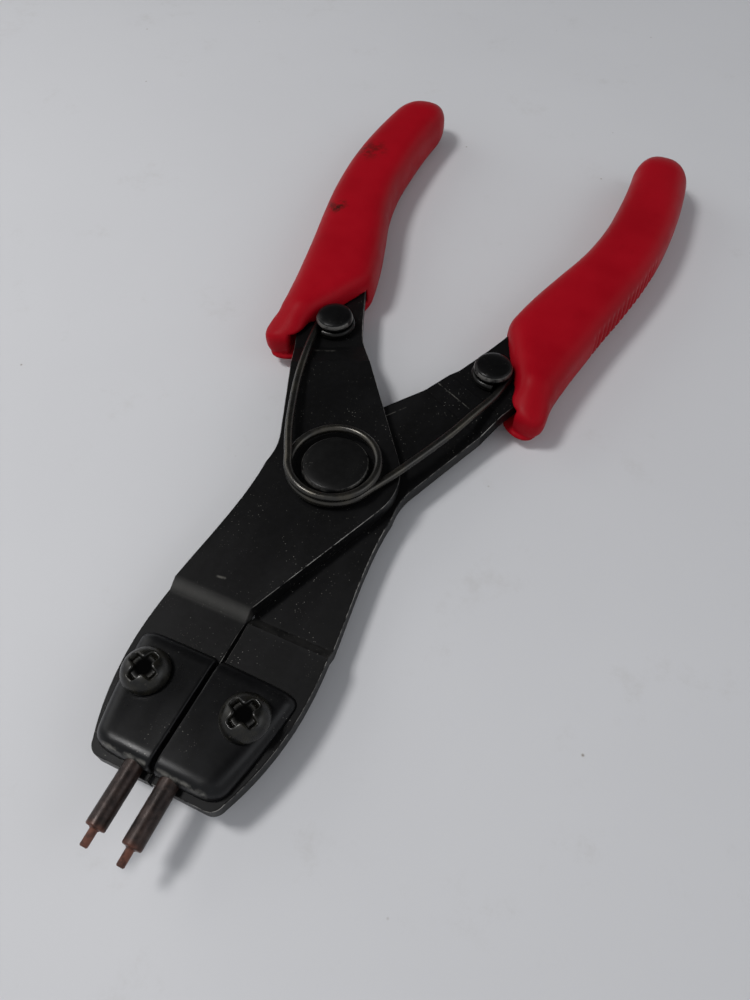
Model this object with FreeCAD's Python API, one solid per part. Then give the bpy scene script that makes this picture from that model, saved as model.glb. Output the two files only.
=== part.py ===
import FreeCAD, Part
import math
import os

# Snap ring pliers with replaceable tips.
# Millimetres. The origin is on the pivot axis, on the plane that the pliers lie on.
# +Z is up along the pivot, +Y runs towards the handles, +X is the side of the right lever.
# Every paired piece is drawn for the right side and mirrored for the left.

V = FreeCAD.Vector

# ---- levers ------------------------------------------------------------------------------
PLATE = 3.0                 # thickness of the stamped lever plates
PLATE_GAP = 0.1             # grease gap between the two plates at the pivot
MID_Z = 6.2                 # height of the plane that both jaws and both handles share
STEP = (PLATE + PLATE_GAP) / 2   # how far each lever is joggled out of that plane at the pivot
ARRIS = 0.22                # broken edge all round the plates
SPLIT_X = 0.32              # half of the slit between the closed jaws
CROTCH = (0.06, -31.2)      # where the slit ends and the plates start to cross
NOSE_Y = -61.6              # front edge of the jaws
JOGGLE_Y = (-33.2, -31.3)   # where the jaw comes back to the shared plane
JOGGLE_S = (28.2, 33.8)     # the same on the handle, measured along it from the pivot
HANDLE_DIR = V(0.425, 0.905, 0)
BOSS_R = 12.0               # round boss about the pivot

# ---- pivot rivet and spring --------------------------------------------------------------
RIVET_R = 4.0
RIVET_PLAY = 0.05           # radial clearance in the right lever
RIVET_HEAD_R = 6.3
RIVET_FOOT_R = 6.6
RIVET_HEAD_H = 2.9
WIRE_R = 0.8
COIL_R = 8.5                # mean radius of the coil
COIL_LOW_Z = 10.36          # wire centre at the coil's lower end
COIL_PITCH = 1.66
COIL_START = math.radians(199)
COIL_SWEEP = math.radians(500)
STUD_X, STUD_Y = 17.9, 35.5
STUD_SHANK_R = 1.9
STUD_STALK_R = 2.6
STUD_HEAD_R = 3.95
STUD_HEAD_H = 1.85
HOOK_R = STUD_STALK_R + WIRE_R + 0.1
HOOK_LIFT = 0.3             # gap between the hooked wire and the handle plate
STUD_HEAD_LIFT = 0.5        # gap between the hooked wire and the underside of the stud's head

# ---- tips, clamps and screws -------------------------------------------------------------
TIP_X = 3.1
TIP_R = 1.6
TIP_SINK = 0.55             # depth of the groove that seats the tip in the jaw
TIP_BACK_Y = -46.0
TIP_SHOULDER_Y = -70.2
TIP_END_Y = -72.9
TIP_PIN_R = 0.65            # the thin pin that enters the ring
TIP_PLAY = 0.05
CLAMP_TOP = 3.7             # height of the clamp over the jaw
CLAMP_WALL = 1.0
CLAMP_EDGE_R = 1.7
CLAMP_OUTLINE = [(0.75, -41.5), (14.4, -41.5), (13.1, -48.0), (10.3, -60.3), (0.75, -60.3)]
CLAMP_CORNERS = [1.9, 2.6, 20.0, 2.4, 1.9]
SCREW_X, SCREW_Y = 8.9, -48.0
SCREW_R = 2.05
SCREW_HOLE_R = 2.1
SCREW_HEAD_R = 4.1
SCREW_HEAD_H = 2.8
SCREW_PROUD = 0.6           # screw end below the jaw

# ---- grips -------------------------------------------------------------------------------
GRIP_HALF = MID_Z - 0.04
SECTION_POWER = 2.5         # 2 is an ellipse, more is boxier
# Each station is the grip's outer side, its inner side and its half thickness.
GRIP_STATIONS = [
    ((28.5, 25.4), (25.7, 25.8), 1.8),
    ((29.8, 27.0), (24.4, 27.7), 4.2),
    ((30.3, 30.4), (23.9, 31.4), 5.3),
    ((30.6, 35.4), (22.9, 36.2), 5.8),
    ((31.3, 39.6), (20.9, 40.9), 6.0),
    ((32.4, 44.9), (17.3, 46.4), GRIP_HALF),
    ((33.9, 51.2), (16.3, 53.6), GRIP_HALF),
    ((36.0, 60.7), (18.9, 63.2), GRIP_HALF),
    ((38.6, 72.2), (22.7, 75.0), GRIP_HALF),
    ((40.5, 86.4), (25.9, 87.8), GRIP_HALF),
    ((41.4, 99.5), (26.5, 99.5), GRIP_HALF),
    ((40.6, 110.6), (26.4, 111.4), GRIP_HALF),
    ((38.8, 119.4), (27.6, 120.6), 5.4),
    ((36.6, 124.3), (29.7, 125.0), 3.7),
    ((34.7, 126.8), (32.1, 127.0), 1.5),
]

JAW_LOW_Z = MID_Z - PLATE / 2
JAW_TOP_Z = MID_Z + PLATE / 2
UPPER_TOP_Z = JAW_TOP_Z + STEP
TIP_Z = JAW_TOP_Z + TIP_R - TIP_SINK
CLAMP_TOP_Z = JAW_TOP_Z + CLAMP_TOP
HOOK_Z = JAW_TOP_Z + HOOK_LIFT + WIRE_R
STUD_HEAD_Z = HOOK_Z + WIRE_R + STUD_HEAD_LIFT


def point(xy, z=0.0):
    return V(xy[0], xy[1], z)


def line(a, b):
    return Part.LineSegment(point(a), point(b)).toShape()


def arc(a, middle, b):
    return Part.Arc(point(a), point(middle), point(b)).toShape()


def curve(points):
    spline = Part.BSplineCurve()
    spline.interpolate([point(p) for p in points])
    return spline.toShape()


def prism(wire, low, high):
    """A flat outline drawn at z = 0, made solid between two heights."""
    face = Part.Face(wire)
    face.translate(V(0, 0, low))
    return face.extrude(V(0, 0, high - low))


def cylinder(radius, low, high, xy=(0, 0)):
    return Part.makeCylinder(radius, high - low, point(xy, low))


def rounded_polygon(corners, radii):
    """A closed outline with straight sides and a tangent arc of its own radius at each corner."""
    arcs = []
    for i, corner in enumerate(corners):
        here = point(corner)
        back = (point(corners[i - 1]) - here).normalize()
        ahead = (point(corners[(i + 1) % len(corners)]) - here).normalize()
        half = back.getAngle(ahead) / 2
        reach = radii[i] / math.tan(half)
        middle = here + (back + ahead).normalize() * (radii[i] / math.sin(half) - radii[i])
        arcs.append((here + back * reach, middle, here + ahead * reach))
    edges = []
    for i, (start, middle, end) in enumerate(arcs):
        edges.append(Part.LineSegment(arcs[i - 1][2], start).toShape())
        edges.append(Part.Arc(start, middle, end).toShape())
    return Part.Wire(edges)


def circle_tangent(target, radius, side):
    """The point where a line from target touches a circle about the pivot. side is +1 or -1."""
    distance = math.hypot(*target)
    turn = math.atan2(target[1], target[0]) + side * math.acos(radius / distance)
    return (radius * math.cos(turn), radius * math.sin(turn))


def lever_wire():
    """The plan outline of the right lever: jaw, boss, handle and the tang inside the grip."""
    handle_start = (11.0, 34.6)
    boss_top = circle_tangent(handle_start, BOSS_R, 1)
    boss_low = circle_tangent(CROTCH, BOSS_R, -1)
    edges = [
        line((SPLIT_X, NOSE_Y), (9.4, NOSE_Y)),
        arc((9.4, NOSE_Y), (10.9, -61.0), (11.6, -59.8)),
        curve([(11.6, -59.8), (14.0, -52.7), (15.4, -43.6), (14.7, -28.7), (13.0, -3.2)]),
        arc((13.0, -3.2), (13.0, 0.7), (14.1, 4.4)),
        line((14.1, 4.4), (24.6, 30.1)),
        curve([(24.6, 30.1), (28.7, 41.0), (32.6, 57.0), (36.4, 75.0), (38.1, 96.0), (37.0, 113.0)]),
        arc((37.0, 113.0), (33.3, 117.5), (29.6, 113.0)),
        curve([(29.6, 113.0), (28.9, 98.0), (25.9, 78.5), (20.3, 58.5), (16.2, 46.8), handle_start]),
        line(handle_start, boss_top),
        arc(boss_top, (-BOSS_R, 0), boss_low),
        line(boss_low, CROTCH),
        line(CROTCH, (SPLIT_X, -36.0)),
        line((SPLIT_X, -36.0), (SPLIT_X, NOSE_Y)),
    ]
    return Part.Wire(edges)


def joggled_slab(length_axis, sideways, bend, reach, drop):
    """A wide slab, flat from the pivot to bend[0] and drop higher from bend[1] to reach."""
    half_width = 80.0
    low = JAW_LOW_Z - drop
    profile = [(-reach / 4, low), (bend[0], low), (bend[1], JAW_LOW_Z), (reach, JAW_LOW_Z)]
    top = [(s, z + PLATE) for s, z in reversed(profile)]
    corners = [length_axis * s + V(0, 0, z) - sideways * half_width for s, z in profile + top]
    face = Part.Face(Part.makePolygon(corners + corners[:1]))
    return face.extrude(sideways * 2 * half_width)


def lever(drop):
    """A right-hand lever whose pivot boss is drop lower than its jaw and handle."""
    outline = prism(lever_wire(), JAW_LOW_Z - 2 * STEP, JAW_TOP_Z + 2 * STEP)
    along = V(HANDLE_DIR).normalize()
    across = along.cross(V(0, 0, 1))
    jaw_slab = joggled_slab(V(0, -1, 0), V(1, 0, 0), (-JOGGLE_Y[1], -JOGGLE_Y[0]), 80.0, drop)
    handle_slab = joggled_slab(along, across, JOGGLE_S, 160.0, drop)
    cut_y = 15.0
    front = Part.makeBox(200, 100 + cut_y, 40, V(-100, -100, -10))
    back = Part.makeBox(200, 200, 40, V(-100, cut_y, -10))
    body = outline.common(jaw_slab).common(front).fuse(outline.common(handle_slab).common(back))
    return body.removeSplitter().Solids[0]


def is_upright(face):
    u_low, u_high, v_low, v_high = face.ParameterRange
    return abs(face.normalAt((u_low + u_high) / 2, (v_low + v_high) / 2).z) < 0.01


def break_edges(shape, radius):
    """Rounds the outline of a plate's two faces, as tumbling leaves them, but not its bend lines."""
    edges = []
    for edge in shape.Edges:
        upright = [is_upright(face) for face in shape.ancestorsOfType(edge, Part.Face)]
        if any(upright) and not all(upright):
            edges.append(edge)
    return shape.makeFillet(radius, edges)


def drill_lever(body, pivot_hole_r):
    body = body.cut(cylinder(pivot_hole_r, 0, 20))
    body = body.cut(cylinder(STUD_SHANK_R, 0, 20, (STUD_X, STUD_Y)))
    body = body.cut(cylinder(SCREW_HOLE_R, 0, 20, (SCREW_X, SCREW_Y)))
    seat = Part.makeCylinder(TIP_R, TIP_BACK_Y - NOSE_Y + 5, V(TIP_X, NOSE_Y - 5, TIP_Z), V(0, 1, 0))
    return body.cut(seat)


def pivot_rivet():
    """Flat foot below, running shank, low rounded head above the upper lever."""
    foot = cylinder(RIVET_FOOT_R, 0, JAW_LOW_Z - STEP - RIVET_PLAY)
    foot = foot.makeFillet(0.5, [e for e in foot.Edges if e.BoundBox.ZMax < 0.01])
    shank = cylinder(RIVET_R, 0, UPPER_TOP_Z + 0.5)
    head = cylinder(RIVET_HEAD_R, UPPER_TOP_Z, UPPER_TOP_Z + RIVET_HEAD_H)
    head = head.makeFillet(0.9, [e for e in head.Edges if e.BoundBox.ZMin > UPPER_TOP_Z + 1])
    return foot.fuse([shank, head]).removeSplitter()


def spring_stud():
    xy = (STUD_X, STUD_Y)
    head = cylinder(STUD_HEAD_R, STUD_HEAD_Z, STUD_HEAD_Z + STUD_HEAD_H, xy)
    head = head.makeFillet(1.3, [e for e in head.Edges if e.BoundBox.ZMin > STUD_HEAD_Z + 1])
    stalk = cylinder(STUD_STALK_R, JAW_TOP_Z, STUD_HEAD_Z, xy)
    shank = cylinder(STUD_SHANK_R, JAW_LOW_Z, JAW_TOP_Z, xy)
    return head.fuse([stalk, shank]).removeSplitter()


def coil_point(turn):
    """Wire centre on the coil, which winds downwards as turn grows."""
    z = COIL_LOW_Z + COIL_PITCH * (COIL_START + COIL_SWEEP - turn) / (2 * math.pi)
    return V(COIL_R * math.cos(turn), COIL_R * math.sin(turn), z)


def coil_tangent(turn):
    return V(-COIL_R * math.sin(turn), COIL_R * math.cos(turn), -COIL_PITCH / (2 * math.pi)).normalize()


def coil_path():
    """A helix that is left-handed going up, from the right leg's end to the left leg's."""
    height = COIL_PITCH * COIL_SWEEP / (2 * math.pi)
    path = Part.makeHelix(COIL_PITCH, height, COIL_R)
    path = path.mirror(V(0, 0, 0), V(0, 1, 0))
    path.rotate(V(0, 0, 0), V(0, 0, 1), math.degrees(COIL_START + COIL_SWEEP))
    path.translate(V(0, 0, COIL_LOW_Z))
    return path


def bent_path(points, radii):
    """Straight runs between points, joined by tangent arcs. radii are those of the inner points."""
    edges = []
    here = points[0]
    for i, radius in enumerate(radii, start=1):
        corner = points[i]
        back = (points[i - 1] - corner).normalize()
        ahead = (points[i + 1] - corner).normalize()
        half = back.getAngle(ahead) / 2
        reach = radius / math.tan(half)
        middle = corner + (back + ahead).normalize() * (radius / math.sin(half) - radius)
        edges.append(Part.LineSegment(here, corner + back * reach).toShape())
        edges.append(Part.Arc(corner + back * reach, middle, corner + ahead * reach).toShape())
        here = corner + ahead * reach
    edges.append(Part.LineSegment(here, points[-1]).toShape())
    return edges


def leg_path(side, coil_end, away, bow):
    """From the coil's end along a bowed leg, then round the stud. side is +1 for the right stud."""
    square = 1.02 * HOOK_R
    corners = [(1.3 * square, square), (-square, square), (-square, -square), (0.4 * square, -square)]
    hook = [V(side * (STUD_X + x), STUD_Y + y, HOOK_Z) for x, y in corners]
    points = [coil_end, coil_end + away * 5.0] + bow + hook
    return bent_path(points, [9.0] + [25.0] * len(bow) + [HOOK_R] * 3)


def swept(edges, start, tangent):
    section = Part.Wire(Part.makeCircle(WIRE_R, start, tangent))
    return Part.Wire(edges).makePipeShell([section], True, False)


def return_spring():
    """One bent wire: hooks on the studs, two bowed legs, and the coil round the rivet head."""
    first, last = COIL_START, COIL_START + COIL_SWEEP
    left_away, right_away = coil_tangent(first) * -1, coil_tangent(last)
    bows = ([V(-15.8, 14.5, 11.0), V(-18.5, 23.6, 10.3), V(-20.0, 29.0, 9.35)], [V(17.6, 20.5, 9.85)])
    left = leg_path(-1, coil_point(first), left_away, bows[0])
    right = leg_path(1, coil_point(last), right_away, bows[1])
    runs = [
        swept(left, coil_point(first), left_away),
        swept(right, coil_point(last), right_away),
        swept(coil_path().Edges, coil_point(last), right_away),
    ]
    return runs[0].fuse(runs[1:])


def tip():
    """A round shank with a shoulder and a thin pin, lying in the groove of the jaw."""
    shank = Part.makeCylinder(TIP_R, TIP_BACK_Y - TIP_SHOULDER_Y,
                              V(TIP_X, TIP_SHOULDER_Y, TIP_Z), V(0, 1, 0))
    shank = shank.makeChamfer(0.25, [e for e in shank.Edges if e.BoundBox.YLength < 0.01])
    pin = Part.makeCylinder(TIP_PIN_R, TIP_SHOULDER_Y - TIP_END_Y + 0.5,
                            V(TIP_X, TIP_END_Y, TIP_Z), V(0, 1, 0))
    return shank.fuse(pin).removeSplitter()


def tip_clamp():
    """A formed cap, hollow below, that is screwed down over the tip's shank."""
    outline = rounded_polygon(CLAMP_OUTLINE, CLAMP_CORNERS)
    cap = prism(outline, JAW_TOP_Z, CLAMP_TOP_Z)
    cap = cap.makeFillet(CLAMP_EDGE_R, [e for e in cap.Edges if e.BoundBox.ZMin > CLAMP_TOP_Z - 0.1])
    hollow = prism(outline.makeOffset2D(-CLAMP_WALL), JAW_TOP_Z, CLAMP_TOP_Z - CLAMP_WALL)
    bore = Part.makeCylinder(TIP_R + TIP_PLAY, TIP_BACK_Y - NOSE_Y + 1,
                             V(TIP_X, NOSE_Y, TIP_Z), V(0, 1, 0))
    collar = cylinder(SCREW_HEAD_R - 0.6, JAW_TOP_Z, CLAMP_TOP_Z - CLAMP_WALL, (SCREW_X, SCREW_Y))
    hole = cylinder(SCREW_HOLE_R + 0.1, 0, 30, (SCREW_X, SCREW_Y))
    return cap.cut(hollow).fuse(collar).cut(bore).cut(hole).removeSplitter()


def clamp_screw():
    """A pan head machine screw with a cross recess."""
    xy = (SCREW_X, SCREW_Y)
    top = CLAMP_TOP_Z + SCREW_HEAD_H
    head = cylinder(SCREW_HEAD_R, CLAMP_TOP_Z, top, xy)
    head = head.makeFillet(1.5, [e for e in head.Edges if e.BoundBox.ZMin > top - 0.1])
    shank = cylinder(SCREW_R, JAW_LOW_Z - SCREW_PROUD, CLAMP_TOP_Z, xy)
    shank = shank.makeChamfer(0.4, [e for e in shank.Edges if e.BoundBox.ZMax < JAW_LOW_Z])
    slot = Part.makeBox(5.0, 1.1, 1.9, V(-2.5, -0.55, -1.7))
    cross = slot.fuse(slot.rotated(V(0, 0, 0), V(0, 0, 1), 90))
    point_cone = Part.makeCone(0.4, 1.5, 2.2, V(0, 0, -2.0))
    recess = cross.fuse(point_cone).rotated(V(0, 0, 0), V(0, 0, 1), 20)
    recess.translate(V(SCREW_X, SCREW_Y, top))
    return head.fuse(shank).removeSplitter().cut(recess)


def grip_section(outer, inner, half_thickness):
    """One closed cross-section of the grip, upright, between two plan points."""
    middle = (point(outer) + point(inner)) * 0.5 + V(0, 0, MID_Z)
    half = (point(outer) - point(inner)) * 0.5
    points = []
    for i in range(16):
        turn = 2 * math.pi * i / 16
        c, s = math.cos(turn), math.sin(turn)
        reach = math.copysign(abs(c) ** (2 / SECTION_POWER), c)
        rise = math.copysign(abs(s) ** (2 / SECTION_POWER), s)
        points.append(middle + half * reach + V(0, 0, half_thickness * rise))
    ring = Part.BSplineCurve()
    ring.interpolate(points, PeriodicFlag=True)
    return Part.Wire(ring.toShape())


def grip():
    """A moulded sleeve over the tang, with a guard lobe at its mouth."""
    sections = [grip_section(*station) for station in GRIP_STATIONS]
    sleeve = Part.makeLoft(sections, True, False)
    return sleeve.cut(prism(lever_wire(), JAW_LOW_Z, JAW_TOP_Z))


def mirrored(shape):
    return shape.mirror(V(0, 0, 0), V(1, 0, 0))


def build():
    right_lever = drill_lever(break_edges(lever(STEP), ARRIS), RIVET_R + RIVET_PLAY)
    left_lever = mirrored(drill_lever(break_edges(lever(-STEP), ARRIS), RIVET_R))
    parts = {
        "right_lever": right_lever,
        "left_lever": left_lever,
        "pivot_rivet": pivot_rivet(),
        "return_spring": return_spring(),
    }
    paired = {
        "spring_stud": spring_stud(),
        "grip": grip(),
        "tip_clamp": tip_clamp(),
        "clamp_screw": clamp_screw(),
        "tip": tip(),
    }
    for name, shape in paired.items():
        parts["right_" + name] = shape
        parts["left_" + name] = mirrored(shape)
    return parts


os.makedirs("parts", exist_ok=True)
for node, shape in build().items():
    shape.exportStep("parts/" + node + ".step")
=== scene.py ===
import math

import bpy
import numpy as np
from mathutils import Matrix, Vector


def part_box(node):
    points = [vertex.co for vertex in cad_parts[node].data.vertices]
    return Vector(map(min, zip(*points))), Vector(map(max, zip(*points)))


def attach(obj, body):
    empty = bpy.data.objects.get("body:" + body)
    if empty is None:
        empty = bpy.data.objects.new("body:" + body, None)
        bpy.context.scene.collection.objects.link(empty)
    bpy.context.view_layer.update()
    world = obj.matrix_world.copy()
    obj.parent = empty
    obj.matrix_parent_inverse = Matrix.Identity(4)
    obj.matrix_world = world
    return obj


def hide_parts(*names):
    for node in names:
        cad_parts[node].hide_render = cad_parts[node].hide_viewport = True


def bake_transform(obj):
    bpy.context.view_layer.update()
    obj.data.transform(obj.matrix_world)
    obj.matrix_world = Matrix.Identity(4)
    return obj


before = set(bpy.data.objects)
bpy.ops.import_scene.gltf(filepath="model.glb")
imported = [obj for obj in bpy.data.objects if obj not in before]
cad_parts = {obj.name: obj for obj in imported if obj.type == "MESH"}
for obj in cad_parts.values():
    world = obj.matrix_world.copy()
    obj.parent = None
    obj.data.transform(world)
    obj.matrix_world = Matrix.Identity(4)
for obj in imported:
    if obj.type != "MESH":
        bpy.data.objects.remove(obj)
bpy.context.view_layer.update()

# Snap ring pliers. Lengths below are in millimetres, about the pivot axis, until a mesh is made.
MM = 0.001
LEFT, RIGHT = "left_half", "right_half"
BODY = {"left": LEFT, "right": RIGHT}
SIGN = {"left": -1, "right": 1}


def node_box(node):
    """Lowest and highest corner of a CAD node in millimetres."""
    low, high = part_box(node)
    return low / MM, high / MM


# ---- sizes that come from the frame --------------------------------------------------------
grip_low, grip_high = node_box("right_grip")
tip_low, tip_high = node_box("right_tip")
clamp_high = node_box("right_tip_clamp")[1]
screw_low, screw_high = node_box("right_clamp_screw")
stud_low, stud_high = node_box("right_spring_stud")
rivet_high = node_box("pivot_rivet")[1]
upper_low, upper_high = node_box("left_lever")
lower_low, lower_high = node_box("right_lever")

MID_Z = (grip_low.z + grip_high.z) / 2
PLATE = lower_high.z - upper_low.z
JAW_TOP = MID_Z + PLATE / 2
JAW_LOW = MID_Z - PLATE / 2
UPPER_TOP = upper_high.z
STUD = (stud_low + stud_high) / 2
SCREW = (screw_low + screw_high) / 2


# ---- small numeric helpers -----------------------------------------------------------------
def smooth_max(a, b, radius):
    """The larger of two distances, with the edge between them rounded."""
    near = np.maximum(radius - np.abs(a - b), 0) / radius
    return np.maximum(a, b) + near * near * radius / 4


def smooth_min(a, b, radius):
    return -smooth_max(-a, -b, radius)


def ramp(value, low, high):
    """0 below low, 1 above high, smooth between."""
    t = np.clip((value - low) / (high - low), 0, 1)
    return t * t * (3 - 2 * t)


def curve_through(at, xs, ys):
    """A smooth curve through points, by cubic pieces with averaged slopes."""
    xs, ys = np.array(xs, float), np.array(ys, float)
    slope = np.gradient(ys, xs)
    i = np.clip(np.searchsorted(xs, at) - 1, 0, len(xs) - 2)
    span = xs[i + 1] - xs[i]
    t = (at - xs[i]) / span
    inside = np.clip(t, 0, 1)
    t2, t3 = inside ** 2, inside ** 3
    value = (2 * t3 - 3 * t2 + 1) * ys[i] + (t3 - 2 * t2 + inside) * span * slope[i]
    value = value + (3 * t2 - 2 * t3) * ys[i + 1] + (t3 - t2) * span * slope[i + 1]
    beyond = t - inside
    return value + beyond * span * np.where(beyond < 0, slope[i], slope[i + 1])


def spline_points(points, per_span=8):
    """Points along a smooth open curve through the given ones."""
    points = np.array(points, float)
    steps = np.arange(len(points))
    fine = np.linspace(0, len(points) - 1, (len(points) - 1) * per_span + 1)
    return np.stack([curve_through(fine, steps, points[:, k]) for k in range(points.shape[1])], 1)


def line_distance(x, y, points):
    """Distance in plan from an open chain of points, positive on its left side going along it."""
    best = None
    for (ax, ay), (bx, by) in zip(points[:-1], points[1:]):
        dx, dy = bx - ax, by - ay
        t = np.clip(((x - ax) * dx + (y - ay) * dy) / (dx * dx + dy * dy), 0, 1)
        away = np.hypot(x - ax - t * dx, y - ay - t * dy)
        side = np.where(dx * (y - ay) - dy * (x - ax) > 0, 1.0, -1.0)
        if best is None:
            best, sign = away, side
        else:
            closer = away < best - 1e-9
            best, sign = np.where(closer, away, best), np.where(closer, side, sign)
    return best * sign


def outline_distance(x, y, corners):
    """Signed distance in plan from a closed outline, negative inside."""
    best, inside = None, None
    for (ax, ay), (bx, by) in zip(corners, np.roll(corners, -1, axis=0)):
        dx, dy = bx - ax, by - ay
        t = np.clip(((x - ax) * dx + (y - ay) * dy) / (dx * dx + dy * dy), 0, 1)
        away = np.hypot(x - ax - t * dx, y - ay - t * dy)
        crosses = ((ay > y) != (by > y)) & (x < ax + (y - ay) * dx / (dy if dy else 1e-12))
        best = away if best is None else np.minimum(best, away)
        inside = crosses if inside is None else inside ^ crosses
    return np.where(inside, -best, best)


# ---- mesh helpers --------------------------------------------------------------------------
def new_piece(name, vertices, faces, materials, smooth=True):
    """A mesh object from points in millimetres."""
    mesh = bpy.data.meshes.new(name)
    mesh.from_pydata((np.asarray(vertices, float) * MM).tolist(), [], [list(f) for f in faces])
    mesh.validate()
    mesh.update()
    piece = bpy.data.objects.new(name, mesh)
    bpy.context.scene.collection.objects.link(piece)
    for material in materials:
        mesh.materials.append(material)
    for polygon in mesh.polygons:
        polygon.use_smooth = smooth
    return piece


def gradient(field, p, step=0.02):
    parts = []
    for axis in range(3):
        offset = np.zeros(3)
        offset[axis] = step
        a, b = p + offset, p - offset
        parts.append((field(a[:, 0], a[:, 1], a[:, 2]) - field(b[:, 0], b[:, 1], b[:, 2])) / (2 * step))
    return np.stack(parts, 1)


def surface_of(field, low, high, cell, settle=4):
    """A closed mesh of the surface where field is zero: one vertex per crossed cell, then settled."""
    axes = [np.arange(low[k] - cell, high[k] + 2 * cell, cell) for k in range(3)]
    grid = np.meshgrid(*axes, indexing="ij", sparse=True)
    values = np.broadcast_to(field(*grid), [len(a) for a in axes]).astype(float)
    inside = values < 0
    shape = tuple(n - 1 for n in values.shape)
    total, count = np.zeros(shape + (3,)), np.zeros(shape)
    for axis in range(3):
        others = [k for k in range(3) if k != axis]
        for da in (0, 1):
            for db in (0, 1):
                start = [0, 0, 0]
                start[others[0]], start[others[1]] = da, db
                stop = list(start)
                stop[axis] = 1
                a = values[tuple(slice(s, s + n) for s, n in zip(start, shape))]
                b = values[tuple(slice(s, s + n) for s, n in zip(stop, shape))]
                crossed = (a < 0) != (b < 0)
                t = np.where(crossed, a / np.where(crossed, a - b, 1), 0)
                for k in range(3):
                    total[..., k] += crossed * (start[k] + (t if k == axis else 0))
                count += crossed
    active = count > 0
    cells = np.argwhere(active)
    points = (cells + total[active] / count[active][:, None]) * cell
    points += np.array([a[0] for a in axes])
    index = np.full(shape, -1)
    index[active] = np.arange(len(cells))
    faces = []
    for axis in range(3):
        b, c = (axis + 1) % 3, (axis + 2) % 3
        first = [slice(1, -1)] * 3
        first[axis] = slice(0, -1)
        second = list(first)
        second[axis] = slice(1, None)
        v0, v1 = inside[tuple(first)], inside[tuple(second)]
        for flip in (False, True):
            where = np.argwhere((v0 & ~v1) if not flip else (~v0 & v1))
            where[:, b] += 1
            where[:, c] += 1
            ring = []
            for sb, sc in ((-1, -1), (0, -1), (0, 0), (-1, 0)):
                at = where.copy()
                at[:, b] += sb
                at[:, c] += sc
                ring.append(index[at[:, 0], at[:, 1], at[:, 2]])
            quad = np.stack(ring, 1)
            faces.append(quad[:, ::-1] if flip else quad)
    for _ in range(settle):
        slope = gradient(field, points)
        value = field(points[:, 0], points[:, 1], points[:, 2])
        move = -value[:, None] * slope / np.maximum((slope ** 2).sum(1), 0.05)[:, None]
        length = np.linalg.norm(move, axis=1)[:, None]
        points = points + move * np.minimum(1, 0.4 * cell / np.maximum(length, 1e-9))
    return points, np.concatenate(faces)


def mirrored_mesh(points, faces, side):
    """The mesh as it is for the right side, turned over for the left."""
    if SIGN[side] > 0:
        return points, faces
    return points * np.array([-1, 1, 1]), faces[:, ::-1]


def lathe(name, profile, centre, axis, material, turns=96):
    """A turned piece. profile is (radius, height) from one end of its axis to the other."""
    toward = {"z": (0, 1, 2), "y": (2, 0, 1)}[axis]
    points, faces = [], []
    rings = []
    for radius, height in profile:
        if radius < 1e-6:
            rings.append([len(points)])
            points.append((0, 0, height))
            continue
        rings.append(list(range(len(points), len(points) + turns)))
        for i in range(turns):
            a = 2 * math.pi * i / turns
            points.append((radius * math.cos(a), radius * math.sin(a), height))
    for low, high in zip(rings, rings[1:]):
        for i in range(turns):
            j = (i + 1) % turns
            if len(low) == 1:
                faces.append((low[0], high[j], high[i]))
            elif len(high) == 1:
                faces.append((low[i], low[j], high[0]))
            else:
                faces.append((low[i], low[j], high[j], high[i]))
    local = np.array(points)
    placed = np.zeros_like(local)
    for source, target in enumerate(toward):
        placed[:, target] = local[:, source]
    return new_piece(name, placed + np.array(centre), faces, [material])


def arc_profile(centre, radius, start, end, steps=8):
    """Points of a circular stretch of a lathe profile. Angles are in degrees from the radius axis."""
    angles = np.radians(np.linspace(start, end, steps))
    return [(centre[0] + radius * math.cos(a), centre[1] + radius * math.sin(a)) for a in angles]


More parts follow.
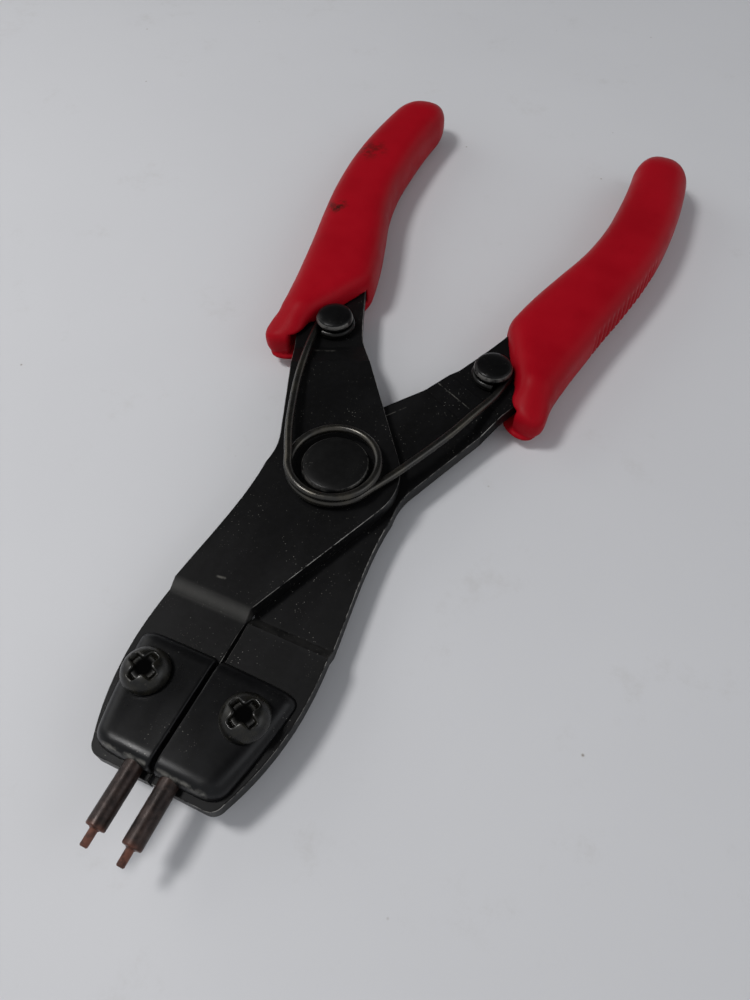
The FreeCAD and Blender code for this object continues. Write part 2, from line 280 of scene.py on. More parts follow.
# ---- material helpers ----------------------------------------------------------------------
class Nodes:
    """Short names for building one material's node tree."""

    def __init__(self, name):
        self.material = bpy.data.materials.new(name)
        self.material.use_nodes = True
        self.tree = self.material.node_tree
        self.tree.nodes.clear()
        self.output = self.tree.nodes.new("ShaderNodeOutputMaterial")
        self.shader = self.tree.nodes.new("ShaderNodeBsdfPrincipled")
        self.link(self.shader.outputs[0], self.output.inputs["Surface"])
        self.place = self.tree.nodes.new("ShaderNodeTexCoord").outputs["Object"]

    def link(self, a, b):
        self.tree.links.new(a, b)

    def set(self, **values):
        """Uniform values straight on the shader's own sockets."""
        for key, value in values.items():
            self.shader.inputs[key.replace("_", " ")].default_value = value

    def feed(self, socket, value):
        """Gives a socket a number, a colour or vector, or another node's output."""
        if isinstance(value, (int, float)):
            socket.default_value = value
        elif isinstance(value, (tuple, list)):
            missing = len(socket.default_value) - len(value)
            socket.default_value = tuple(value) + (1.0,) * missing
        else:
            self.link(value, socket)

    def noise(self, scale, detail=4.0, rough=0.55, stretch=(1, 1, 1), place=None):
        """Noise with scale in cycles per metre."""
        mapping = self.tree.nodes.new("ShaderNodeMapping")
        mapping.inputs["Scale"].default_value = stretch
        self.link(place or self.place, mapping.inputs["Vector"])
        node = self.tree.nodes.new("ShaderNodeTexNoise")
        self.link(mapping.outputs[0], node.inputs["Vector"])
        node.inputs["Scale"].default_value = scale
        node.inputs["Detail"].default_value = detail
        node.inputs["Roughness"].default_value = rough
        return node.outputs["Fac"]

    def specks(self, scale, size):
        """Small round dots, 1 at a dot's centre."""
        node = self.tree.nodes.new("ShaderNodeTexVoronoi")
        self.link(self.place, node.inputs["Vector"])
        node.inputs["Scale"].default_value = scale
        return self.map(node.outputs["Distance"], size, 0.0)

    def map(self, value, low, high, to_low=0.0, to_high=1.0, smooth=True):
        node = self.tree.nodes.new("ShaderNodeMapRange")
        node.interpolation_type = "SMOOTHSTEP" if smooth else "LINEAR"
        self.feed(node.inputs["Value"], value)
        flip = low > high
        node.inputs["From Min"].default_value = min(low, high)
        node.inputs["From Max"].default_value = max(low, high)
        node.inputs["To Min"].default_value = to_high if flip else to_low
        node.inputs["To Max"].default_value = to_low if flip else to_high
        return node.outputs["Result"]

    def math(self, operation, a, b=0.0):
        node = self.tree.nodes.new("ShaderNodeMath")
        node.operation = operation
        self.feed(node.inputs[0], a)
        self.feed(node.inputs[1], b)
        return node.outputs[0]

    def mix(self, factor, a, b):
        node = self.tree.nodes.new("ShaderNodeMix")
        node.data_type = "RGBA"
        self.feed(node.inputs["Factor"], factor)
        self.feed(node.inputs[6], a)
        self.feed(node.inputs[7], b)
        return node.outputs[2]

    def axis(self, which):
        """One object coordinate, in metres."""
        node = self.tree.nodes.new("ShaderNodeSeparateXYZ")
        self.link(self.place, node.inputs[0])
        return node.outputs[which]

    def slope(self):
        """How far a face looks up or down: 1 on a level face, 0 on an upright one."""
        node = self.tree.nodes.new("ShaderNodeNewGeometry")
        split = self.tree.nodes.new("ShaderNodeSeparateXYZ")
        self.link(node.outputs["True Normal"], split.inputs[0])
        return self.math("ABSOLUTE", split.outputs["Z"])

    def near(self, centre, radius, soft=0.5):
        """1 within a ball about a point in millimetres, fading over its outer part."""
        node = self.tree.nodes.new("ShaderNodeVectorMath")
        node.operation = "DISTANCE"
        self.link(self.place, node.inputs[0])
        node.inputs[1].default_value = [c * MM for c in centre]
        return self.map(node.outputs["Value"], radius * MM, radius * (1 - soft) * MM)

    def near_line(self, start, end, width):
        """1 on a straight line in plan between two points in millimetres, 0 beyond half its width."""
        start, end = Vector(start) * MM, Vector(end) * MM
        run = end - start
        flat = self.vector("MULTIPLY", self.place, (1, 1, 0))
        offset = self.vector("SUBTRACT", flat, (start.x, start.y, 0))
        unit = run / run.length_squared
        along = self.vector("DOT_PRODUCT", offset, (unit.x, unit.y, 0))
        along = self.map(along, 0, 1, smooth=False)
        foot = self.vector("SCALE", (run.x, run.y, 0), scale=along)
        away = self.vector("DISTANCE", offset, foot)
        return self.map(away, width / 2 * MM, 0.0)

    def vector(self, operation, a, b=(0, 0, 0), scale=1.0):
        node = self.tree.nodes.new("ShaderNodeVectorMath")
        node.operation = operation
        self.feed(node.inputs[0], a)
        self.feed(node.inputs[1], b)
        self.feed(node.inputs[3], scale)
        return node.outputs["Value" if operation in ("DOT_PRODUCT", "DISTANCE") else "Vector"]

    def bump(self, height, strength, distance):
        node = self.tree.nodes.new("ShaderNodeBump")
        node.inputs["Strength"].default_value = strength
        node.inputs["Distance"].default_value = distance * MM
        self.feed(node.inputs["Height"], height)
        self.link(node.outputs[0], self.shader.inputs["Normal"])

    def colour(self, value):
        self.feed(self.shader.inputs["Base Color"], value)

    def rough(self, value):
        self.feed(self.shader.inputs["Roughness"], value)

    def metal(self, value):
        self.feed(self.shader.inputs["Metallic"], value)


DUST, FINE_DUST = (0.42, 0.41, 0.37), (0.34, 0.33, 0.29)
# Bright steel for scratched lines, and for the painted highlights along the clamps' front edges.
SCRATCH_AND_HIGHLIGHT_STEEL = (0.16, 0.155, 0.14)
# Lighter oxide laid along the jaw bends as a painted highlight.
BEND_HIGHLIGHT_OXIDE = (0.085, 0.083, 0.078)
BARE_STEEL = (0.33, 0.32, 0.30)
LEVER_TONE = (0.0036, 0.0036, 0.0038)
CLAMP_TONE = (0.0038, 0.0039, 0.0043)
RIVET_TONE = (0.0055, 0.0055, 0.0055)


def black_oxide(name, tone=LEVER_TONE, gloss=0.38, dust=1.0, worn=1.0, scratches_and_highlights=(), bends=(), dull=(),
                spec=0.19):
    """Blackened steel: fine mottling, dust specks, handling smears, scratches and brighter edges.

    The stretches for scratches, bends and dull bands are in plan, from a start to an end point: scratched
    lines or painted edge highlights with a width and a shade, bend lines with the strength of a painted
    highlight, and bands with a width where the oxide has no gleam.
    """
    n = Nodes(name)
    mottle = n.noise(900, 6)
    smear = n.noise(90, 5, stretch=(1, 0.45, 1))
    base = n.mix(n.map(mottle, 0.3, 0.75), tone, tuple(c * 1.5 for c in tone))
    base = n.mix(n.map(smear, 0.5, 0.75, 0, 0.5), base, tuple(c * 2.8 for c in tone))
    drift = n.map(n.noise(120, 3), 0.45, 0.65)
    dots = n.math("MULTIPLY", n.specks(1500, 0.15), drift)
    fine_dots = n.math("MULTIPLY", n.specks(2600, 0.15), n.map(n.noise(210, 3), 0.53, 0.66))
    base = n.mix(n.math("MULTIPLY", dots, 0.8 * dust), base, DUST)
    base = n.mix(n.math("MULTIPLY", fine_dots, 0.5 * dust), base, FINE_DUST)
    # Scratched lines on the levers; on the clamps these stretches are painted highlights along the rolled
    # front edges.
    for start, end, width, shade in scratches_and_highlights:
        line = n.math("MULTIPLY", n.near_line(start, end, width), n.map(n.noise(700, 4), 0.36, 0.6))
        base = n.mix(n.math("MULTIPLY", line, shade), base, SCRATCH_AND_HIGHLIGHT_STEEL)
    tilt = n.slope()
    band = n.math("MULTIPLY", n.map(tilt, 0.15, 0.35), n.map(tilt, 0.82, 0.74))
    patches = n.map(n.noise(38, 2), 0.42, 0.6, 0.35, 1.0)
    chips = n.math("MULTIPLY", n.map(n.noise(420, 5, 0.7), 0.38, 0.57), patches)
    edge = n.math("MULTIPLY", n.math("MULTIPLY", band, chips), min(1.0, worn))
    # Along each bend the worn edges are held back, and a painted highlight of lighter oxide is laid on.
    for start, end, shade in bends:
        bend = n.map(n.near_line(start, end, 4.0), 0.04, 0.3)
        edge = n.math("MULTIPLY", edge, n.map(bend, 0, 1, 1.0, 0.06))
        base = n.mix(n.math("MULTIPLY", n.near_line(start, end, 3.4), shade), base, BEND_HIGHLIGHT_OXIDE)
    n.colour(n.mix(edge, base, BARE_STEEL))
    n.rough(n.map(smear, 0.3, 0.75, gloss, gloss + 0.14))
    n.metal(n.math("ADD", n.math("MULTIPLY", edge, 0.6), 0.3))
    gleam = spec
    for start, end, width in dull:
        gleam = n.map(n.map(n.near_line(start, end, width), 0.2, 0.45), 0, 1, gleam, 0.03)
    n.feed(n.shader.inputs["Specular IOR Level"], gleam)
    n.bump(n.math("ADD", n.noise(5200, 3), n.math("MULTIPLY", mottle, 0.8)), 0.22, 0.02)
    return n.material


# Dirt marks on the left grip: centre, radius and shade.
MARKS = (((-37.2, 68.9, 11.5), 3.0, 1.0), ((-33.6, 68.6, 12.0), 3.6, 0.95),
         ((-36.4, 93.0, 12.0), 6.0, 0.6), ((-35.6, 62.5, 11.0), 3.0, 0.3))
DEEP_RED, FULL_RED = (0.275, 0.0022, 0.0076), (0.325, 0.0034, 0.010)
RUBBED_RED, GRIMY_RED = (0.17, 0.003, 0.006), (0.09, 0.004, 0.006)
DIRT = (0.022, 0.009, 0.006)
GRIME_FROM, GRIME_FULL = 120.0, 127.0


def red_vinyl(name, side):
    """Moulded vinyl: even red, a satin skin, faint mould texture, and scuffs where it is rubbed."""
    n = Nodes(name)
    cloud = n.noise(60, 4)
    fine = n.noise(2600, 4)
    base = n.mix(n.map(cloud, 0.3, 0.7), DEEP_RED, FULL_RED)
    rubbed = n.noise(330, 6, 0.7, (1, 0.4, 1))
    base = n.mix(n.map(rubbed, 0.56, 0.75, 0, 0.2), base, RUBBED_RED)
    if side == "left":
        for centre, radius, shade in MARKS:
            mark = n.math("MULTIPLY", n.near(centre, radius, 0.8), n.map(n.noise(520, 6, 0.75), 0.42, 0.6))
            base = n.mix(n.math("MULTIPLY", mark, shade), base, DIRT)
    grime = n.map(n.axis(1), GRIME_FROM * MM, GRIME_FULL * MM)
    grime = n.math("MULTIPLY", grime, n.map(n.noise(380, 5), 0.35, 0.7, 0, 0.5))
    n.colour(n.mix(grime, base, GRIMY_RED))
    n.rough(n.map(n.noise(240, 4), 0.3, 0.7, 0.36, 0.46))
    n.set(Specular_IOR_Level=0.06)
    n.bump(n.math("ADD", fine, n.math("MULTIPLY", n.noise(700, 3), 1.4)), 0.3, 0.035)
    return n.material


def spring_steel(name):
    """Oil-tempered wire: dark, smooth, a little browned in places, with painted shade where the hooks pass
    under the stud heads.
    """
    n = Nodes(name)
    brown = n.noise(180, 4, 0.6)
    base = n.mix(n.map(brown, 0.35, 0.7), (0.048, 0.047, 0.045), (0.075, 0.069, 0.056))
    # Painted shade: the wire is darkened round each stud, where its hook passes under the head.
    for sign in SIGN.values():
        base = n.mix(n.near((sign * STUD.x, STUD.y, JAW_TOP + 1), 6.5, 0.45), base, (0.012, 0.012, 0.012))
    n.colour(base)
    n.metal(0.9)
    n.rough(n.map(n.noise(700, 4), 0.3, 0.7, 0.24, 0.34))
    n.bump(n.noise(2400, 3), 0.06, 0.02)
    return n.material


def rusty_tip(name):
    """Tool steel gone brown, with copper-orange rust towards the thin pin."""
    n = Nodes(name)
    blotch = n.noise(420, 6, 0.65)
    base = n.mix(n.map(blotch, 0.35, 0.65), (0.011, 0.0066, 0.0056), (0.030, 0.0155, 0.0115))
    base = n.mix(n.map(n.noise(1500, 5), 0.58, 0.74, 0, 0.3), base, (0.075, 0.05, 0.04))
    outward = n.map(n.axis(1), -69.0 * MM, -70.8 * MM)
    rust = n.math("MULTIPLY", outward, n.map(n.noise(900, 5), 0.3, 0.6, 0.3, 1.0))
    base = n.mix(rust, base, (0.15, 0.058, 0.038))
    n.colour(base)
    n.metal(n.map(blotch, 0.35, 0.65, 0.6, 0.35))
    n.rough(n.map(n.noise(700, 5), 0.3, 0.7, 0.34, 0.5))
    n.bump(n.noise(2200, 6, 0.7), 0.3, 0.04)
    return n.material


def pale_table(name):
    """A pale bench top with faint stains and a few specks."""
    n = Nodes(name)
    base = n.mix(n.map(n.noise(6, 5), 0.3, 0.7), (0.60, 0.605, 0.625), (0.63, 0.635, 0.655))
    base = n.mix(n.map(n.noise(45, 7, 0.75), 0.56, 0.78, 0, 0.4), base, (0.47, 0.46, 0.45))
    n.colour(n.mix(n.specks(75, 0.03), base, (0.25, 0.22, 0.19)))
    n.rough(0.6)
    n.bump(n.noise(1400, 3), 0.12, 0.05)
    return n.material


# ---- camera and light ----------------------------------------------------------------------
AZIMUTH, ELEVATION, ROLL = math.radians(25.67), math.radians(55.49), math.radians(-0.92)
TARGET = Vector((8.54, -1.15, 6.38))
DISTANCE = 144.95
LENS = 28.16
DARK_SIDE = Vector((-0.22, 0.58, 0.78))


def make_camera():
    ahead = Vector((-math.sin(AZIMUTH) * math.cos(ELEVATION),
                    math.cos(AZIMUTH) * math.cos(ELEVATION), -math.sin(ELEVATION)))
    level = Vector((math.cos(AZIMUTH), math.sin(AZIMUTH), 0))
    over = level.cross(ahead)
    right = math.cos(ROLL) * level + math.sin(ROLL) * over
    up = -math.sin(ROLL) * level + math.cos(ROLL) * over
    data = bpy.data.cameras.new("camera")
    data.lens = LENS
    data.sensor_width = 36
    data.clip_start = 0.005
    camera = bpy.data.objects.new("camera", data)
    bpy.context.scene.collection.objects.link(camera)
    turn = Matrix((right, up, -ahead)).transposed().to_4x4()
    camera.matrix_world = Matrix.Translation((TARGET - ahead * DISTANCE) * MM) @ turn
    bpy.context.scene.camera = camera


def area_light(name, place, aim, size, power, colour):
    data = bpy.data.lights.new(name, "AREA")
    data.shape = "RECTANGLE"
    data.size, data.size_y = size
    data.energy = power
    data.color = colour
    light = bpy.data.objects.new(name, data)
    bpy.context.scene.collection.objects.link(light)
    light.location = place
    light.rotation_euler = (Vector(aim) - Vector(place)).to_track_quat("-Z", "Y").to_euler()


def soft_room():
    """Even light from all round, but little from where the level faces would mirror it."""
    world = bpy.data.worlds.new("studio")
    world.use_nodes = True
    tree = world.node_tree
    place = tree.nodes.new("ShaderNodeTexCoord").outputs["Generated"]
    toward = tree.nodes.new("ShaderNodeVectorMath")
    toward.operation = "DOT_PRODUCT"
    toward.inputs[1].default_value = DARK_SIDE.normalized()
    tree.links.new(place, toward.inputs[0])
    shade = tree.nodes.new("ShaderNodeMapRange")
    shade.interpolation_type = "SMOOTHSTEP"
    for socket, value in (("From Min", 0.55), ("From Max", 0.80), ("To Min", 0.57), ("To Max", 0.05)):
        shade.inputs[socket].default_value = value
    tree.links.new(toward.outputs["Value"], shade.inputs["Value"])
    background = tree.nodes["Background"]
    background.inputs["Color"].default_value = (0.95, 0.965, 1.0, 1)
    tree.links.new(shade.outputs["Result"], background.inputs["Strength"])
    return world


def make_studio():
    """The floor, the world and three lights. Places and sizes here are in metres."""
    size = 5.0
    corners = [(-size, -size, 0), (size, -size, 0), (size, size, 0), (-size, size, 0)]
    floor = new_piece("table", np.array(corners) / MM, [(0, 1, 2, 3)], [pale_table("pale_table")])
    bpy.context.scene.world = soft_room()
    area_light("key", (-0.245, -0.105, 0.525), (0, 0, 0), (0.12, 0.12), 1.6, (1.0, 0.99, 0.98))
    area_light("left", (-0.75, 0.15, 0.40), (0, 0.04, 0), (0.5, 0.5), 0.9, (1.0, 0.99, 0.97))
    area_light("right", (0.68, 0.12, 0.50), (0, 0.03, 0), (0.5, 0.4), 0.6, (0.95, 0.97, 1.0))
    bpy.context.scene.view_settings.view_transform = "Standard"


# ---- grips ---------------------------------------------------------------------------------
GRIP_Y = [20, 26, 30, 35, 42.6, 50.5, 59.2, 68.1, 77.5, 88.5, 100, 110.7, 121.3, 130]
GRIP_OUTER = [30.9, 31.5, 31.5, 31.3, 32.3, 33.8, 35.6, 37.6, 39.4, 40.7, 41.1, 40.6, 39.3, 37.6]
GRIP_INNER = [11.5, 12.4, 13.0, 13.8, 15.0, 16.0, 18.0, 20.8, 23.9, 26.1, 26.8, 26.8, 26.1, 25.2]
GRIP_MOUTH = [(8, 50.5), (15.5, 47.2), (19.9, 41.0), (22.3, 36.2), (23.2, 32.5), (23.4, 28.5), (23.9, 24),
              (24.3, 16)]
END_Y, END_LENGTH = 115.6, 10.2
LOBE_Y, LOBE_LENGTH = 26.4, 10.0
SECTION_POWER = 3.1         # 2 is an ellipse, more is boxier; it turns rounder towards the end
RIB_START, RIB_PITCH, RIB_COUNT = 54.0, 2.15, 14
SEAM_Z = 3.3
POCKET_Z = 6.0


def grip_field(x, y, z):
    """Signed distance, roughly, of the right grip's outer skin."""
    # The sleeve: a rounded section between two side curves, domed at its end.
    outer = curve_through(y, GRIP_Y, GRIP_OUTER)
    inner = curve_through(y, GRIP_Y, GRIP_INNER)
    half = (outer - inner) / 2
    across = (x - (outer + inner) / 2) / half
    nose = ramp(y, LOBE_Y + LOBE_LENGTH, LOBE_Y + 1.5)
    rise = (z - MID_Z) / ((MID_Z - 0.03) * (1 - np.where(z > MID_Z, 0.45, 0.2) * nose))
    power = SECTION_POWER - 0.5 * ramp(y, 88, 118)
    past = np.maximum(y - END_Y, 0) / END_LENGTH
    ring = (np.abs(across) ** power + np.abs(rise) ** power) ** (2 / power)
    sleeve = MID_Z * (np.sqrt(ring + past ** 2) - 1)
    # Finger ribs on the outer side.
    outer_side = ramp(across, 0.72, 0.93)
    phase = (y - RIB_START) / RIB_PITCH
    flute = np.exp(-((phase - np.round(phase)) / 0.24) ** 2)
    flute = flute * ramp(phase, -0.5, 0.5) * ramp(phase, RIB_COUNT + 0.5, RIB_COUNT - 0.5)
    sleeve = sleeve + 0.42 * flute * outer_side * ramp(rise, 0.62, 0.2)
    # The slanting mouth and the front of the lobe, both set back below the ledge.
    lower = ramp(z, 3.9, 3.1)
    lip = -line_distance(x, y, MOUTH_LINE) - 1.0 * lower
    skin = smooth_max(sleeve, lip, 4.8)
    front = LOBE_Y + 0.25 * (27 - x) - 0.9 * lower - y
    skin = smooth_max(skin, front, 4.6)
    # A slight neck behind the lobe, the mould seam and the pocket round the tang.
    neck = np.exp(-((y - 33.6) / 1.6) ** 2) * ramp(z, 5.5, 9.0)
    seam = np.exp(-((z - SEAM_Z) / 0.3) ** 2)
    skin = skin + 0.14 * neck + 0.3 * seam * ramp(np.maximum(across, 1 - (y - 24) / 6), 0.5, 0.9)
    pocket = np.maximum(outline_distance(x, y, TANG) - 1.3 * ramp(y, 35.0, 30.0), np.abs(z - POCKET_Z) - 2.1)
    return smooth_max(skin, -smooth_max(pocket, y - 35.0, 1.5), 0.9)


def lever_plan():
    """The tang and handle of the right lever in plan, as a closed outline."""
    outer = spline_points([(14.1, 4.4), (24.6, 30.1), (28.7, 41.0), (32.6, 57.0), (36.4, 75.0),
                           (38.1, 96.0), (37.0, 113.0)])
    end = [(33.3, 117.5)]
    inner = spline_points([(29.6, 113.0), (28.9, 98.0), (25.9, 78.5), (20.3, 58.5), (16.2, 46.8),
                           (11.0, 34.6)])
    return np.concatenate([outer, end, inner, [(0, 20)]])


MOUTH_LINE = spline_points(GRIP_MOUTH, 6)
TANG = lever_plan()
SOCKET_GAP = 0.12


def hollow_grip_field(x, y, z):
    """The skin less the socket that the lever's tang sits in."""
    plate = np.maximum(outline_distance(x, y, TANG), np.abs(z - MID_Z) - PLATE / 2)
    return np.maximum(grip_field(x, y, z), SOCKET_GAP - plate)


def make_grips():
    cell = 0.4
    low, high = (15, 20, 0), (42, 128, 12.6)
    points, faces = surface_of(hollow_grip_field, low, high, cell)
    for side in BODY:
        name = side + "_grip"
        vinyl = red_vinyl(side + "_red_vinyl", side)
        piece = new_piece(name + "_sleeve", *mirrored_mesh(points, faces, side), [vinyl])
        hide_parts(name)
        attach(piece, BODY[side])


# ---- tip clamps ----------------------------------------------------------------------------
CLAMP_INNER, CLAMP_FRONT, CLAMP_REAR = 0.34, -60.5, -40.9
CLAMP_SIDE_Y, CLAMP_SIDE_X = [-62, -60.3, -53.4, -47.8, -41.2, -39], [10.2, 10.8, 12.7, 13.8, 14.8, 15.1]
CLAMP_SHEET = 1.05
TIP_X = (tip_low.x + tip_high.x) / 2
TIP_Z = (tip_low.z + tip_high.z) / 2


def clamp_field(x, y, z):
    """A sheet cap with rolled-down outer edges, highest over the tip, open below."""
    side = (x - curve_through(y, CLAMP_SIDE_Y, CLAMP_SIDE_X)) * 0.97
    fall = 0.08 * np.logaddexp(0, (x - 5.0) / 1.2) * 1.2
    rear = 0.062 * (y - CLAMP_FRONT)
    top = z - (clamp_high.z - 0.02 - fall - rear)
    skin = smooth_max(side, top, 3.2)
    skin = smooth_max(skin, CLAMP_FRONT - y, 2.6)
    skin = smooth_max(skin, y - CLAMP_REAR, 2.4)
    skin = smooth_max(skin, CLAMP_INNER - x, 0.45)
    shell = np.maximum(skin, -(skin + CLAMP_SHEET))
    return smooth_max(shell, JAW_TOP + 0.03 - z, 0.2)


def make_clamps():
    cell = 0.26
    low, high = (0, -61, JAW_TOP), (15, -41, clamp_high.z + 0.3)
    points, faces = surface_of(clamp_field, low, high, cell)
    # Painted highlights along the clamps' rolled front edges, laid on as chipped bright steel.
    front_edge_highlights = []
    for sign in SIGN.values():
        front_edge_highlights.append(((sign * 1.2, CLAMP_FRONT + 0.55, 0), (sign * 9.0, CLAMP_FRONT + 0.5, 0), 0.9, 0.85))
    material = black_oxide("clamp_oxide", CLAMP_TONE, 0.25, 0.7, 0.0, front_edge_highlights, spec=0.28)
    for side in BODY:
        name = side + "_tip_clamp"
        piece = new_piece(name + "_cap", *mirrored_mesh(points, faces, side), [material])
        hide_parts(name)
        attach(piece, BODY[side])


# ---- clamp screws --------------------------------------------------------------------------
HEAD_TOP = screw_high.z - 0.7
HEAD_R = (screw_high.x - screw_low.x) / 2
HEAD_H = 2.7
SLOT_TURN = {"left": math.radians(72), "right": math.radians(66)}


def screw_field(turn, wear):
    """A pan head with a cross recess, and its shank. turn is the recess's angle."""
    def field(x, y, z):
        dx, dy = x - SCREW.x, y - SCREW.y
        radius = np.hypot(dx, dy)
        dome = (z - HEAD_TOP + 0.02) + radius ** 2 * 0.06
        head = smooth_max(radius - HEAD_R, dome, 2.2)
        head = smooth_max(head, (HEAD_TOP - HEAD_H) - z, 0.4)
        u = dx * math.cos(turn) + dy * math.sin(turn)
        v = dy * math.cos(turn) - dx * math.sin(turn)
        depth = HEAD_TOP - z
        half = 0.86 - 0.17 * depth
        reach = 3.0 - 0.6 * depth
        one = smooth_max(np.abs(u) - half, np.abs(v) - reach, 0.5)
        two = smooth_max(np.abs(v) - half, np.abs(u) - reach, 0.5)
        cross = smooth_min(one, two, 0.7 * wear)
        cross = np.maximum(cross, depth - 2.6)
        head = smooth_max(head, -cross, 0.28 * wear)
        shank = np.maximum(radius - 2.05, np.maximum(z - (HEAD_TOP - 1.0), screw_low.z - z))
        return np.minimum(head, shank)
    return field


def make_screws():
    cell = 0.13
    for side in BODY:
        name = side + "_clamp_screw"
        turn = SLOT_TURN[side] * SIGN[side]
        low = (screw_low.x, screw_low.y, screw_low.z)
        high = (screw_high.x, screw_high.y, screw_high.z)
        points, faces = surface_of(screw_field(turn, 1.0), low, high, cell)
        material = worn_screw_shaded_recess(side + "_worn_screw_shaded_recess", (SIGN[side] * SCREW.x, SCREW.y, HEAD_TOP - 2.3))
        piece = new_piece(name + "_head", *mirrored_mesh(points, faces, side), [material])
        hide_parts(name)
        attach(piece, BODY[side])


def worn_screw_shaded_recess(name, recess):
    """Blackened screw, rubbed to brown and grey steel round its recess, with painted shade inside the recess.
    """
    n = Nodes(name)
    blotch = n.noise(700, 6, 0.65)
    base = n.mix(n.map(blotch, 0.35, 0.7), (0.0035, 0.0035, 0.0033), (0.012, 0.011, 0.0075))
    base = n.mix(n.map(n.noise(1700, 5), 0.62, 0.78, 0, 0.4), base, (0.09, 0.08, 0.065))
    # Painted shade in the cross recess: near-black, with no gleam and rougher.
    recess_shade = n.near(recess, 2.45, 0.3)
    n.colour(n.mix(recess_shade, base, (0.002, 0.002, 0.002)))
    n.metal(0.15)
    n.feed(n.shader.inputs["Specular IOR Level"], n.map(recess_shade, 0, 1, 0.4, 0.0, smooth=False))
    n.rough(n.math("ADD", n.map(n.noise(900, 4), 0.3, 0.7, 0.24, 0.36), n.math("MULTIPLY", recess_shade, 0.5)))
    n.bump(n.noise(1900, 4, 0.6), 0.2, 0.03)
    return n.material


# ---- tips ----------------------------------------------------------------------------------
def make_tips():
    radius = (tip_high.x - tip_low.x) / 2
    back, end = tip_high.y, tip_low.y
    shoulder = end + 2.7
    pin = 0.65
    profile = [(0, end), (pin - 0.15, end), (pin, end + 0.18), (pin, shoulder - 0.25)]
    profile += [(pin + 0.2, shoulder - 0.05)]
    profile += [(radius - 0.3, shoulder)] + arc_profile((radius - 0.3, shoulder + 0.3), 0.3, -90, 0, 5)[1:]
    profile += [(radius, y) for y in np.linspace(shoulder + 1.5, back - 0.3, 12)]
    profile += [(radius - 0.3, back), (0, back)]
    for side in BODY:
        name = side + "_tip"
        centre = (SIGN[side] * TIP_X, 0, TIP_Z)
        piece = lathe(name + "_shank", profile, centre, "y", rusty_tip(side + "_rusty_tip"), 64)
        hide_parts(name)
        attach(piece, BODY[side])


# ---- rivets --------------------------------------------------------------------------------
def make_rivet():
    head_r, top = 6.3, rivet_high.z
    foot_r, foot_top = rivet_high.x, lower_low.z - 0.05
    shank = 4.0
    profile = [(0, 0), (foot_r - 0.6, 0)] + arc_profile((foot_r - 0.5, 0.5), 0.5, -80, 0, 6)
    profile += [(foot_r, foot_top - 0.15), (foot_r - 0.15, foot_top), (shank, foot_top)]
    profile += [(shank, UPPER_TOP + 0.01)]
    profile += [(head_r - 0.25, UPPER_TOP + 0.01), (head_r, UPPER_TOP + 0.3)]
    profile += arc_profile((head_r - 0.8, top - 1.15), 0.8, 0, 75, 8)
    profile += [(head_r - 1.6, top - 0.22), (head_r - 3.0, top - 0.1), (1.5, top - 0.02), (0, top)]
    material = black_oxide("rivet_oxide", RIVET_TONE, 0.3, 1.2, 0.6)
    piece = lathe("pivot_rivet_head", profile, (0, 0, 0), "z", material)
    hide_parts("pivot_rivet")
    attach(piece, LEFT)


def make_studs():
    top = stud_high.z
    head_r = (stud_high.x - stud_low.x) / 2
    under = top - 1.9
    shank_r, stalk_r = 1.9, 2.6
    profile = [(0, JAW_LOW), (shank_r, JAW_LOW), (shank_r, JAW_TOP), (stalk_r, JAW_TOP), (stalk_r, under)]
    profile += [(head_r - 0.3, under)]
    profile += arc_profile((head_r - 0.35, under + 0.35), 0.35, -80, 20, 6)
    dome = np.linspace(0.93, 0, 9)
    profile += [(head_r * t, under + 0.5 + 1.4 * math.sqrt(1 - (0.93 * t) ** 2)) for t in dome]
    material = black_oxide("stud_oxide", gloss=0.27, dust=1.2, worn=0.4)
    for side in BODY:
        name = side + "_spring_stud"
        centre = (SIGN[side] * STUD.x, STUD.y, 0)
        piece = lathe(name + "_head", profile, centre, "z", material)
        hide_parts(name)
        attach(piece, BODY[side])


# ---- return spring -------------------------------------------------------------------------
WIRE_R = 0.8
COIL_R = 8.3
COIL_X = -0.35
COIL_LOW_Z, COIL_PITCH = 10.36, 1.66
COIL_START, COIL_SWEEP = math.radians(199), math.radians(500)
HOOK_R = 3.5
HOOK_Z = JAW_TOP + 0.3 + WIRE_R


def coil_point(turn):
    z = COIL_LOW_Z + COIL_PITCH * (COIL_START + COIL_SWEEP - turn) / (2 * math.pi)
    return (COIL_X + COIL_R * math.cos(turn), COIL_R * math.sin(turn), z)


def hook_points(side):
    """Round the stud from the leg's side to the front, then a short straight end."""
    turns = [math.radians(-18 + 288 * i / 14) for i in range(15)]
    arc = [(side * (STUD.x + HOOK_R * math.cos(t)), STUD.y + HOOK_R * math.sin(t), HOOK_Z) for t in turns]
    end = [(side * (STUD.x + reach), STUD.y - HOOK_R, HOOK_Z) for reach in (0.7, 1.4)]
    return arc + end


def spring_line():
    """The wire's centre line from the left hook to the right one."""
    left_leg = [(-20.1, 28.8, 9.4), (-18.4, 22.4, 10.35), (-16.3, 15.6, 11.05), (-13.6, 8.6, 11.85),
                (-11.1, 2.8, 12.4)]
    steps = 48
    coil = [coil_point(COIL_START + COIL_SWEEP * i / steps) for i in range(steps + 1)]
    right_leg = [(10.4, 3.0, 10.15), (13.4, 9.6, 10.08), (16.2, 16.3, 10.0), (18.6, 23.6, 9.7),
                 (20.4, 29.4, 9.1)]
    return spline_points(hook_points(-1)[::-1] + left_leg + coil + right_leg + hook_points(1), 4)


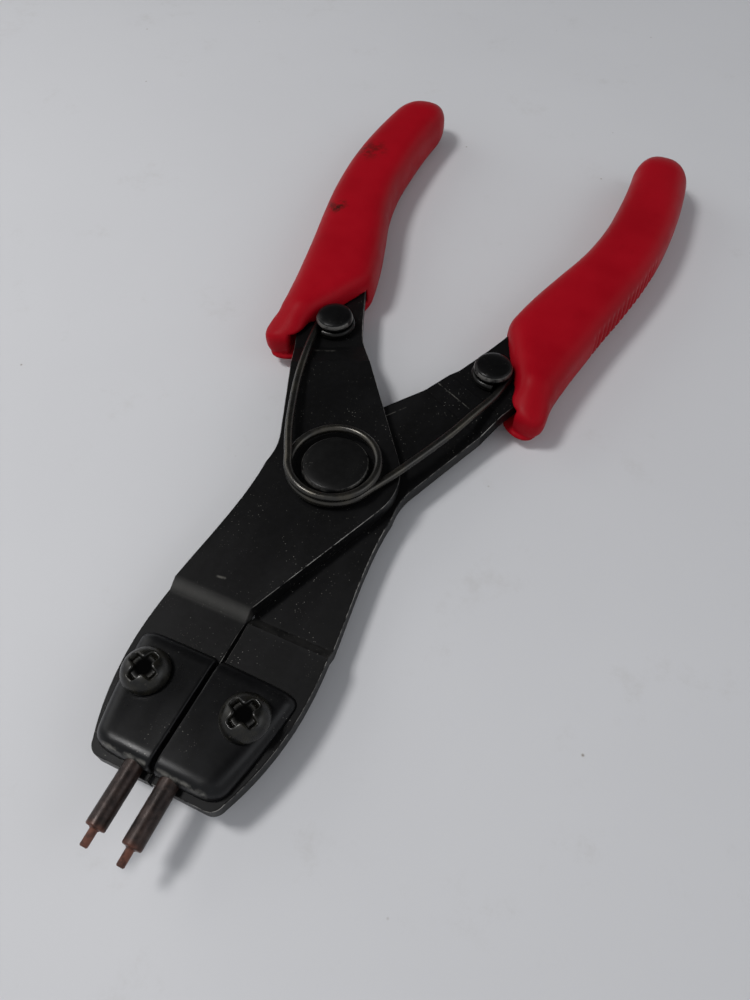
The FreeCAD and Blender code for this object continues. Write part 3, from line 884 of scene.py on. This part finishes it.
def wire_mesh(line, radius, around=20):
    """A round wire along a line, with slightly rounded cut ends."""
    ahead = np.gradient(line, axis=0)
    ahead /= np.linalg.norm(ahead, axis=1)[:, None]
    side = np.cross(ahead[0], (0, 0, 1))
    points, faces = [], []
    count = len(line)
    for i in range(count):
        side = side - ahead[i] * (side @ ahead[i])
        side /= np.linalg.norm(side)
        other = np.cross(ahead[i], side)
        near_end = min(i, count - 1 - i)
        r = radius * (0.8 if near_end == 0 else 1.0)
        for k in range(around):
            a = 2 * math.pi * k / around
            points.append(line[i] + r * (math.cos(a) * side + math.sin(a) * other))
    for i in range(count - 1):
        for k in range(around):
            j = (k + 1) % around
            faces.append((i * around + k, i * around + j, (i + 1) * around + j, (i + 1) * around + k))
    faces.append(tuple(range(around))[::-1])
    faces.append(tuple((count - 1) * around + k for k in range(around)))
    return np.array(points), faces


def make_spring():
    points, faces = wire_mesh(spring_line(), WIRE_R)
    piece = new_piece("return_spring_wire", points, faces, [spring_steel("spring_steel")])
    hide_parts("return_spring")
    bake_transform(piece)


# ---- levers --------------------------------------------------------------------------------
JAW_BEND_Y = -32.3
# Strength of the painted highlight along each jaw's bend.
JAW_BEND_HIGHLIGHT = {"left": 0.55, "right": 0.1}
SCRIBES = {
    "left": (((-18.5, 27.3, 0), (-14.7, 28.7, 0), 0.9, 0.5), ((-8.3, -28.3, 0), (-7.0, -28.1, 0), 0.7, 0.55)),
    "right": (((1.2, 17.6, 0), (4.6, 22.2, 0), 0.3, 0.8), ((7.9, 30.5, 0), (16.5, 26.5, 0), 0.3, 0.6)),
}
DULL_BENDS = {"left": (), "right": (((4.6, 32.1, 0), (21.8, 24.0, 0), 9.6),)}


def finish_levers():
    """The levers keep their CAD meshes and get blackened, dusty, edge-worn steel, with a painted highlight
    along each jaw's bend.
    """
    for side, sign in SIGN.items():
        bend = ((0, JAW_BEND_Y, 0), (sign * 22, JAW_BEND_Y, 0), JAW_BEND_HIGHLIGHT[side])
        oxide = black_oxide(side + "_lever_oxide", scratches_and_highlights=SCRIBES[side], bends=(bend,),
                            dull=DULL_BENDS[side])
        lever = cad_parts[side + "_lever"]
        lever.data.materials.clear()
        lever.data.materials.append(oxide)


make_camera()
make_studio()
finish_levers()
make_grips()
make_clamps()
make_screws()
make_tips()
make_rivet()
make_studs()
make_spring()
